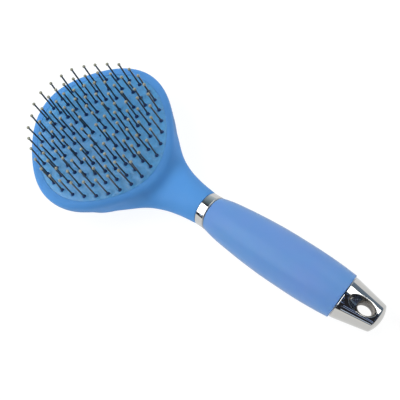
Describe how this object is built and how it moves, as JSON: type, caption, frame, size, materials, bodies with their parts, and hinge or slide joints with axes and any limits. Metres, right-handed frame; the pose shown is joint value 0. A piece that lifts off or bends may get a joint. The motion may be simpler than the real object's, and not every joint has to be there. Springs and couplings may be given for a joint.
{
  "type": "pin hair brush",
  "caption": "Cushioned pin brush: rounded diamond head with a domed rubber pad of ball-tipped steel pins, a metal ferrule, a soft gel grip and a slanted, plated end cap with a hanging eye.",
  "frame": {"origin": "middle of the brush's plan box, on the surface that its back rests on", "axes": "+X along the handle towards the head, +Z the way the pins point, +Y across"},
  "size_m": [0.221, 0.0848, 0.046],
  "materials": {
    "blue_shell": "satin moulded plastic",
    "blue_rubber": "satin moulded rubber",
    "pin_steel": "dark satin wire with enamelled ball tips",
    "ferrule_chrome": "bright plated",
    "grip_gel": "translucent soft gel",
    "cap_chrome": "bright plated"
  },
  "bodies": {
    "brush_frame": {"head_shell": "blue_shell", "cushion_pad": "blue_rubber", "ferrule": "ferrule_chrome", "grip_sleeve": "grip_gel", "end_cap": "cap_chrome"},
    "pin_ring_1": {"pins_ring1_arc1": "pin_steel"},
    "pin_ring_2": {"pins_ring2_arc1": "pin_steel", "pins_ring2_arc2": "pin_steel"},
    "pin_ring_3": {"pins_ring3_arc1": "pin_steel", "pins_ring3_arc2": "pin_steel", "pins_ring3_arc3": "pin_steel", "pins_ring3_arc4": "pin_steel"},
    "pin_ring_4": {"pins_ring4_arc1": "pin_steel", "pins_ring4_arc2": "pin_steel", "pins_ring4_arc3": "pin_steel", "pins_ring4_arc4": "pin_steel", "pins_ring4_arc5": "pin_steel", "pins_ring4_arc6": "pin_steel"},
    "pin_ring_5": {"pins_ring5_arc1": "pin_steel", "pins_ring5_arc2": "pin_steel", "pins_ring5_arc3": "pin_steel", "pins_ring5_arc4": "pin_steel", "pins_ring5_arc5": "pin_steel", "pins_ring5_arc6": "pin_steel", "pins_ring5_arc7": "pin_steel"},
    "pin_ring_6": {"pins_ring6_arc1": "pin_steel", "pins_ring6_arc2": "pin_steel", "pins_ring6_arc3": "pin_steel", "pins_ring6_arc4": "pin_steel", "pins_ring6_arc5": "pin_steel", "pins_ring6_arc6": "pin_steel", "pins_ring6_arc7": "pin_steel", "pins_ring6_arc8": "pin_steel"}
  },
  "joints": [
    {"name": "ring_1_press", "type": "slide", "parent": "brush_frame", "child": "pin_ring_1", "axis": [0, 0, 1], "range_m": [-0.00206, 0], "stiffness_N_per_m": 320},
    {"name": "ring_2_press", "type": "slide", "parent": "brush_frame", "child": "pin_ring_2", "axis": [0, 0, 1], "range_m": [-0.00193, 0], "stiffness_N_per_m": 640},
    {"name": "ring_3_press", "type": "slide", "parent": "brush_frame", "child": "pin_ring_3", "axis": [0, 0, 1], "range_m": [-0.0017, 0], "stiffness_N_per_m": 1280},
    {"name": "ring_4_press", "type": "slide", "parent": "brush_frame", "child": "pin_ring_4", "axis": [0, 0, 1], "range_m": [-0.00133, 0], "stiffness_N_per_m": 1920},
    {"name": "ring_5_press", "type": "slide", "parent": "brush_frame", "child": "pin_ring_5", "axis": [0, 0, 1], "range_m": [-0.000846, 0], "stiffness_N_per_m": 2240},
    {"name": "ring_6_press", "type": "slide", "parent": "brush_frame", "child": "pin_ring_6", "axis": [0, 0, 1], "range_m": [-0.000279, 0], "stiffness_N_per_m": 2560}
  ],
  "couplings": [
    {"joint": "ring_2_press", "follows": "ring_1_press", "ratio": 0.93578},
    {"joint": "ring_3_press", "follows": "ring_1_press", "ratio": 0.82418},
    {"joint": "ring_4_press", "follows": "ring_1_press", "ratio": 0.64287},
    {"joint": "ring_5_press", "follows": "ring_1_press", "ratio": 0.41032},
    {"joint": "ring_6_press", "follows": "ring_1_press", "ratio": 0.1347}
  ]
}
